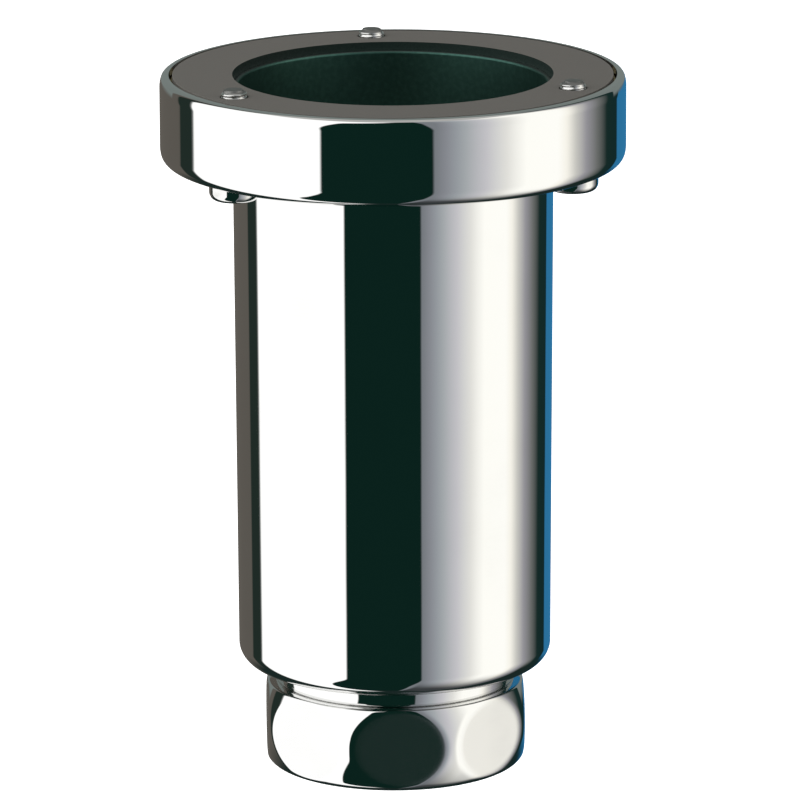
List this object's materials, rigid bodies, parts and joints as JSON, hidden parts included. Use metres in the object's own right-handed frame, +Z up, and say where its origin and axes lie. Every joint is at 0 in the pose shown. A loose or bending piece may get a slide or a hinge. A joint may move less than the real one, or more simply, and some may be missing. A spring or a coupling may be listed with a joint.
{
  "type": "bottle trap",
  "caption": "Polished round waste trap hung from a bolted flange, with a deep cup, a lift-out water-seal bell and a threaded outlet closed by a coupling nut with rounded flats.",
  "frame": {"origin": "on the trap's axis, in the plane of the gasket's upper face, where the trap meets the bowl", "axes": "+Z up along the trap's axis, towards the bowl; the picture's camera looks along +Y; the rest pose has the bell seated and the coupling nut tight"},
  "size_m": [0.108, 0.108, 0.1664],
  "materials": {
    "chrome_flange": "bright chrome plate on pressed brass",
    "chrome_body": "bright chrome plate on drawn brass",
    "chrome_outlet": "bright chrome plate on turned brass",
    "chrome_nut": "bright chrome plate, turned barrel with polished flats",
    "cast_brass": "sand-cast, unplated",
    "raw_brass": "turned, unplated",
    "grey_rubber": "matt moulded rubber",
    "black_rubber": "matt moulded rubber",
    "fibre": "pressed vulcanised fibre",
    "screw_steel": "bright zinc-plated steel, slotted pan heads",
    "white_plastic": "moulded polypropylene",
    "bell_plastic": "moulded polypropylene",
    "knob_steel": "turned stainless steel",
    "slip_plastic": "moulded polyethylene"
  },
  "bodies": {
    "trap_body": {"flange_cover": "chrome_flange", "flange_ring": "cast_brass", "flange_gasket": "grey_rubber", "flange_screws": "screw_steel", "body_cup": "chrome_body", "outlet_spigot": "chrome_outlet", "collar_seal": "black_rubber", "spigot_seal": "fibre", "back_nut": "raw_brass", "standpipe": "white_plastic", "standpipe_seal": "black_rubber"},
    "bell_insert": {"bell": "bell_plastic", "bell_knob": "knob_steel", "knob_seal": "black_rubber", "knob_nut": "raw_brass"},
    "seal_stack": {"cone_seal": "black_rubber", "thrust_ring": "slip_plastic"},
    "nut": {"coupling_nut": "chrome_nut"}
  },
  "joints": [
    {"name": "bell_lift", "type": "slide", "parent": "trap_body", "child": "bell_insert", "axis": [0, 0, 1], "range_m": [0, 0.112]},
    {"name": "nut_travel", "type": "slide", "parent": "trap_body", "child": "seal_stack", "axis": [0, 0, -1], "range_m": [0, 0.0116]},
    {"name": "nut_turn", "type": "hinge", "parent": "seal_stack", "child": "nut", "pos_m": [0, 0, -0.1546], "axis": [0, 0, -1], "range_deg": [0, 1800]}
  ],
  "couplings": [
    {"joint": "nut_travel", "follows": "nut_turn", "m_per_rad": 0.00036749}
  ]
}
